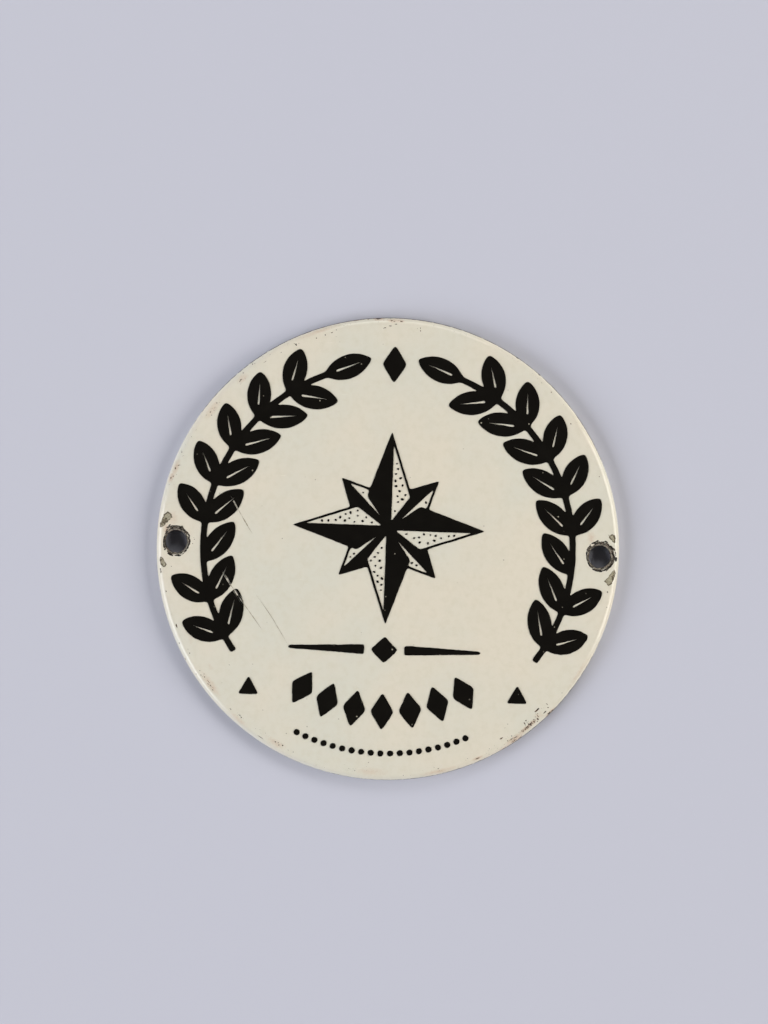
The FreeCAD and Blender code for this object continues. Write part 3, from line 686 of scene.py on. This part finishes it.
def shade_smooth(piece, sharp_degrees):
    """Shades a piece smooth, apart from edges that turn by more than an angle."""
    piece.data.polygons.foreach_set("use_smooth", [True] * len(piece.data.polygons))
    piece.data.set_sharp_from_angle(angle=math.radians(sharp_degrees))


plate = new_piece("enamelled_plate_dressed", shell, plate_finishes)
cut_away(plate, new_piece("bore_cutter", bores, plate_finishes), own_overlaps=False)
cut_away(plate, new_piece("break_cutter", breaks, plate_finishes), own_overlaps=True)
shade_smooth(plate, sharp_degrees=32)

# Where rust has stained the ivory: angle, inset, reach along the rim and across it in
# millimetres, and strength. A stain is gone at this many times its reach.
stain_fade = 1.35
stain_zone = 28 * MM
stains = [
    (94.4, 0.2, 1, 0.4, 1), (90.9, 0.6, 1.2, 0.4, 0.8), (88.7, 0.6, 0.7, 0.3, 0.8),
    (99.8, 0, 1.4, 0.3, 0.9), (-54.2, 0.55, 2, 0.6, 0.8), (-50.4, 0.9, 1.3, 0.4, 0.9),
    (-48.4, 1, 1.2, 0.4, 0.9), (-43, 0.15, 1.1, 0.4, 1), (-58, 0.1, 1, 0.3, 0.8), (-64.8, 0.7, 1, 0.3, 0.9),
    (-45.6, 1.2, 0.8, 0.8, 0.55), (161, 0.8, 1.5, 0.6, 0.75), (164, 0.6, 1, 0.5, 0.8),
    (-140.5, 1.4, 3, 0.8, 0.6), (-118, 1.3, 2.6, 0.8, 0.5), (-129, 0.9, 2.6, 0.6, 0.5),
    (132.5, 1.3, 1.6, 0.8, 0.5), (143.5, 1.3, 2.4, 0.8, 0.5), (174, 2.4, 1.6, 1.2, 0.5),
    (5, 4.6, 1.4, 1, 0.55), (176.9, 1.43, 0.7, 0.5, 1), (-144.3, 3.1, 0.9, 0.6, 0.42),
    (-153.1, 2.4, 0.8, 0.6, 0.42), (45.9, 0.9, 0.7, 0.5, 0.4), (-75, 0.6, 4, 0.5, 0.55),
    (-92, 1.4, 4, 1, 0.42), (110, 0.6, 5, 0.5, 0.5), (-31, 0.7, 4, 0.5, 0.45),
]
# How dark the turn of the rim is painted, by angle: partly the dark coat showing through, partly painted
# shade. It is strong at the top and along the lower right, which lie in shade, and faint at the lit sides.
dark_rim_and_painted_shade = [
    (-180, 0.1), (-120, 0.35), (-95, 0.6), (-60, 0.85), (-40, 0.9), (-22, 0.5), (-8, 0.15), (12, 0.2),
    (30, 0.7), (60, 0.8), (88, 0.95), (108, 0.95), (125, 0.8), (145, 0.65), (160, 0.25), (180, 0.1),
]
# The dark coat and painted shade are strongest at the turn itself and at the cut edge, by height in
# millimetres.
dark_and_shade_by_height = [(-1.0, 1.0), (0.25, 0.9), (0.6, 0.5), (0.95, 0.55), (1.4, 1.0), (5.0, 1.0)]
thin_and_shade_inset = 0.22 * MM
thin_and_shade_fade = 0.1 * MM

stain_shares, thin_and_shade_shares = [], []
for vertex in plate.data.vertices:
    out = math.hypot(vertex.co.x, vertex.co.y)
    degrees = math.degrees(math.atan2(vertex.co.y, vertex.co.x))
    share = 0
    if out > stain_zone:
        for middle, inset, along, across, strength in stains:
            apart = (degrees - middle + 180) % 360 - 180
            off_along = math.radians(apart) * out / (along * MM)
            off_across = (plate_radius - out - inset * MM) / (across * MM)
            share = max(share, strength * (stain_fade - math.hypot(off_along, off_across)))
    stain_shares.append(min(max(share, 0), 1))
    # Painted shade and dark coat: the outermost band of the rim is darkened by angle and height.
    turned = min(max((out - plate_radius + thin_and_shade_inset) / thin_and_shade_fade, 0), 1)
    dark = value_at(dark_rim_and_painted_shade, degrees) * value_at(dark_and_shade_by_height, vertex.co.z / MM)
    thin_and_shade_shares.append(turned * dark)
for name, shares in (("stain", stain_shares), ("thin_enamel_and_painted_shade", thin_and_shade_shares)):
    attribute = plate.data.attributes.new(name, "FLOAT", "POINT")
    attribute.data.foreach_set("value", shares)

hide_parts("enamelled_plate")
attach(plate, "root")

# Black figures. Black enamel was pushed through a stencil on to the fired white and fired
# again, which left a thin layer with soft corners and slightly unsteady edges. The outlines
# are those of the CAD figures, softened, filled and laid on the dome again.
print_thickness = 0.07 * MM
outline_step = 0.22 * MM
edge_wander = 0.035 * MM
join_distance = 0.0005 * MM
least_upwards = 0.9

figures = bmesh.new()
figures.from_mesh(frame["nodes"]["black_figures"].data)
bmesh.ops.remove_doubles(figures, verts=figures.verts, dist=join_distance)


def is_top(face):
    """Whether a face of the CAD figures looks up and lies on top of the layer."""
    place = face.calc_center_median()
    middle_height = face_height(place.x, place.y) + 0.5 * print_thickness
    return face.normal.z > least_upwards and place.z > middle_height


bmesh.ops.delete(figures, geom=[face for face in figures.faces if not is_top(face)], context="FACES")
for vert in figures.verts:
    vert.co.z = 0
black_parts = BVHTree.FromBMesh(figures)
bmesh.ops.delete(figures, geom=figures.faces[:], context="FACES_KEEP_BOUNDARY")

# Stipple in the white halves of the star, as an engraver shades. Each half lies clockwise of
# its point, and is given by the turn of the point, its reach, the angle of its shoulder and the
# number of its dots.
star_middle = Vector((0, 3.4, 0)) * MM
star_shoulder = 6.2 * MM
star_points = [(turn, 15.5 * MM, 36, 16) for turn in (0, 90, 180, 270)]
star_points += [(turn, 11.1 * MM, 27, 8) for turn in (45, 135, 225, 315)]
most_attempts = 900
stipple_sizes, stipple_stretches = (0.15, 0.24), (1.0, 1.5)
stipple_spacing = 0.8 * MM
from_black = 0.42 * MM
dots = []
for turn, reach, shoulder_degrees, wanted in star_points:
    angle = math.radians(shoulder_degrees)
    shoulder = Vector((math.cos(angle), -math.sin(angle), 0))
    corners = [Vector(), shoulder * star_shoulder, Vector((reach, 0, 0))]
    for corner in corners:
        corner.rotate(Euler((0, 0, math.radians(turn))))
        corner += star_middle
    placed = 0
    for attempt in range(most_attempts):
        first, second = sorted((chance.random(), chance.random()))
        spot = corners[0] * first + corners[1] * (second - first) + corners[2] * (1 - second)
        if black_parts.find_nearest(spot)[3] < from_black:
            continue
        if any((spot - other).length < stipple_spacing for other in dots):
            continue
        dots.append(spot)
        placed += 1
        if placed == wanted:
            break
for index, spot in enumerate(dots):
    size = chance.uniform(*stipple_sizes) * MM
    stretch = chance.uniform(*stipple_stretches)
    turn = chance.uniform(0, math.pi)
    outline = round_outline(spot, size, points=12, uneven=0.4, along=stretch, turn=turn, seed=index)
    ring = [figures.verts.new(point) for point in outline]
    for start, stop in zip(ring, ring[1:] + ring[:1]):
        figures.edges.new((start, stop))

# The small figures were cut with a less steady hand than the large ones.
small_figures_below = -12 * MM
small_unsteady, large_unsteady = 1.5, 0.6
slow_wave, quick_wave = 1.3 * MM, 0.45 * MM
longest_edge = 1.5 * outline_step
while long_edges := [edge for edge in figures.edges if edge.calc_length() > longest_edge]:
    bmesh.ops.subdivide_edges(figures, edges=long_edges, cuts=1)
for _ in range(3):
    bmesh.ops.smooth_vert(figures, verts=figures.verts, factor=0.5, use_axis_x=True, use_axis_y=True)
for vert in figures.verts:
    slow = noise.noise_vector(vert.co / slow_wave)
    quick = noise.noise_vector(vert.co / quick_wave + Vector((9, 4, 2)))
    unsteady = small_unsteady if vert.co.y < small_figures_below else large_unsteady
    vert.co += edge_wander * Vector((slow.x, slow.y, 0))
    vert.co += edge_wander * unsteady * Vector((quick.x, quick.y, 0))
bmesh.ops.triangle_fill(figures, edges=figures.edges, use_beauty=True, normal=(0, 0, 1))

# Cut into squares, so that the flat fill can follow the dome.
square = 1.5 * MM
on_line = 0.0001 * MM
rows = int(plate_radius / square)
for axis in (Vector((1, 0, 0)), Vector((0, 1, 0))):
    for row in range(-rows, rows + 1):
        everything = figures.verts[:] + figures.edges[:] + figures.faces[:]
        bmesh.ops.bisect_plane(figures, geom=everything, dist=on_line, plane_co=axis * row * square,
                               plane_no=axis)
bmesh.ops.recalc_face_normals(figures, faces=figures.faces)
grown = bmesh.ops.extrude_face_region(figures, geom=figures.faces[:])
upper = {item for item in grown["geom"] if isinstance(item, bmesh.types.BMVert)}
for vert in figures.verts:
    vert.co.z = face_height(vert.co.x, vert.co.y) + (print_thickness if vert in upper else 0)
bmesh.ops.recalc_face_normals(figures, faces=figures.faces)

# Vitreous enamel, black: deep and glossy, with pinholes that show the white below as grey
# points, and a trace of rubbing.
haze_size = 2.2
black_enamel, tree = new_material("vitreous_enamel_black")
in_mm = places_in_mm(tree)
in_pinholes = pinholes(tree, in_mm, spacing=1.3, dot=(0.11, 0.07), chosen=(0.7, 1.0), strength=1.0)
haze = add_node(tree, "ShaderNodeTexNoise", {"Scale": 1 / haze_size, "Detail": 4}, {"Vector": in_mm})
hazed = add_node(tree, "ShaderNodeMix", {FIRST: linear("#0C0A08"), SECOND: linear("#13110D")},
                 {"Factor": haze.outputs["Fac"]}, data_type="RGBA")
black_colour = add_node(tree, "ShaderNodeMix", {SECOND: linear("#A9A493")},
                        {"Factor": in_pinholes, FIRST: hazed.outputs[MIXED]}, data_type="RGBA")
gloss = add_node(tree, "ShaderNodeMapRange",
                 {"From Min": 0.4, "From Max": 0.7, "To Min": 0.1, "To Max": 0.2},
                 {"Value": haze.outputs["Fac"]})
relief = add_node(tree, "ShaderNodeBump", {"Strength": 0.2, "Distance": 0.02 * MM},
                  {"Height": haze.outputs["Fac"]})
finish_material(tree, add_node(tree, "ShaderNodeBsdfPrincipled", {"IOR": 1.52}, {
    "Base Color": black_colour.outputs[MIXED],
    "Roughness": gloss.outputs["Result"],
    "Normal": relief.outputs["Normal"],
}))

print_piece = new_piece("black_figures_dressed", figures, [black_enamel])

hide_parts("black_figures")
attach(print_piece, "root")

# The same scratches go through the black to the white below, in strands where the hard thing
# skipped: points in millimetres, and for each strand how far it lies to the side and its
# greatest width.
scratches_in_black = [
    ([(-25.6, 7.7), (-24.5, 5.8), (-23.8, 4.6)], ((0.0, 0.34),)),
    ([(-26.7, -4.5), (-25.0, -6.9), (-24.4, -7.7)], ((0.0, 0.24), (0.17, 0.2))),
    ([(-24.9, -6.9), (-23.9, -8.3), (-22.8, -9.8)], ((-0.27, 0.12), (0.0, 0.33), (0.25, 0.12))),
]
black_scratch_depth = 0.01 * MM
needles = bmesh.new()
for points, strands in scratches_in_black:
    for aside, width in strands:
        add_break(needles, scratch_outline(points, width, aside), black_scratch_depth, 0)
bmesh.ops.recalc_face_normals(needles, faces=needles.faces)
cut_away(print_piece, new_piece("black_scratch_cutter", needles, [black_enamel]), own_overlaps=True)
shade_smooth(print_piece, sharp_degrees=40)

# Stage: a plain pale floor of lavender grey under the plate, large soft lamps at both sides, a
# weaker one beyond its top and a dim room, so that the gloss stays dark above the face. Away
# from the plate the camera sees the floor fade into the even colour of the backdrop.
backdrop_colour = linear("#C4C6D4")
floor_size = 30.0
floor_gap = 0.02 * MM
fade_from, fade_to = 0.15, 0.6
floor_mesh = bmesh.new()
bmesh.ops.create_grid(floor_mesh, x_segments=1, y_segments=1, size=floor_size / 2)
bmesh.ops.translate(floor_mesh, verts=floor_mesh.verts, vec=(0, 0, -floor_gap))
paper, tree = new_material("pale_floor")
place = add_node(tree, "ShaderNodeTexCoord").outputs["Object"]
distance = add_node(tree, "ShaderNodeVectorMath", links={0: place}, operation="LENGTH")
far = add_node(tree, "ShaderNodeMapRange", {"From Min": fade_from, "From Max": fade_to},
               {"Value": distance.outputs["Value"]}, interpolation_type="SMOOTHSTEP")
seen = add_node(tree, "ShaderNodeLightPath").outputs["Is Camera Ray"]
faded = add_node(tree, "ShaderNodeMath", links={0: far.outputs["Result"], 1: seen}, operation="MULTIPLY")
lit = add_node(tree, "ShaderNodeBsdfPrincipled", {"Base Color": backdrop_colour, "Roughness": 0.9,
                                                  "Specular IOR Level": 0.2})
even = add_node(tree, "ShaderNodeEmission", {"Color": backdrop_colour})
ground = add_node(tree, "ShaderNodeMixShader", links={0: faded.outputs["Value"], 1: lit.outputs["BSDF"],
                                                      2: even.outputs["Emission"]})
add_node(tree, "ShaderNodeOutputMaterial", links={"Surface": ground.outputs["Shader"]})
floor = new_piece("floor", floor_mesh, [paper])


def add_softbox(name, direction, distance, width, height, radiance, colour):
    """Soft lamp that faces the plate from a direction, of a given size and brightness."""
    lamp = bpy.data.lights.new(name, "AREA")
    lamp.shape = "RECTANGLE"
    lamp.size = width
    lamp.size_y = height
    lamp.energy = radiance * math.pi * width * height
    lamp.color = linear(colour)[:3]
    stand = bpy.data.objects.new(name, lamp)
    away = Vector(direction).normalized()
    stand.location = away * distance
    stand.rotation_euler = away.to_track_quat("Z", "Y").to_euler()
    stand.visible_camera = False
    bpy.context.scene.collection.objects.link(stand)


lamp_distance = 2.6
add_softbox("left_lamp", (-1, -0.35, 0.53), lamp_distance, 2.4, 1.4, radiance=6.0, colour="#FBFCFF")
add_softbox("right_lamp", (1, 0.05, 0.53), lamp_distance, 2.4, 1.4, radiance=6.1, colour="#FFFAF0")
add_softbox("top_lamp", (0.1, 1, 0.75), lamp_distance, 1.6, 1.0, radiance=3.6, colour="#FFFDF8")

# The room is brightest at the level of the floor and dark overhead.
room = bpy.data.worlds.new("dim_room")
room.use_nodes = True
tree = room.node_tree
tree.nodes.clear()
look = add_node(tree, "ShaderNodeTexCoord").outputs["Generated"]
height = add_node(tree, "ShaderNodeSeparateXYZ", links={"Vector": look})
level = add_node(tree, "ShaderNodeMapRange",
                 {"From Min": 0.0, "From Max": 0.75, "To Min": 0.62, "To Max": 0.05},
                 {"Value": height.outputs["Z"]})
sky = add_node(tree, "ShaderNodeBackground", {"Color": linear("#F4F4F8")},
               {"Strength": level.outputs["Result"]})
backdrop = add_node(tree, "ShaderNodeBackground", {"Color": backdrop_colour})
seen = add_node(tree, "ShaderNodeLightPath").outputs["Is Camera Ray"]
around_all = add_node(tree, "ShaderNodeMixShader", links={0: seen, 1: sky.outputs["Background"],
                                                          2: backdrop.outputs["Background"]})
add_node(tree, "ShaderNodeOutputWorld", links={"Surface": around_all.outputs["Shader"]})
bpy.context.scene.world = room
bpy.context.scene.view_settings.view_transform = "Standard"

# Camera: straight above, as the photograph was taken, with the plate a little turned and below
# the middle of the picture.
picture_height = 1024
pixel = 0.162 * MM
camera_distance = 300 * MM
face_level = 1.5 * MM
sensor = 36.0
view_roll = math.radians(2.1)
aim_right, aim_up = -3.9 * pixel, 36.9 * pixel

lens = bpy.data.cameras.new("camera")
lens.sensor_width = sensor
lens.lens = sensor * camera_distance / (picture_height * pixel)
lens.clip_start = 10 * MM
camera = bpy.data.objects.new("camera", lens)
aim = Vector((aim_right, aim_up, 0))
aim.rotate(Euler((0, 0, view_roll)))
camera.location = aim + Vector((0, 0, camera_distance + face_level))
camera.rotation_euler = (0, 0, view_roll)
bpy.context.scene.collection.objects.link(camera)
bpy.context.scene.camera = camera
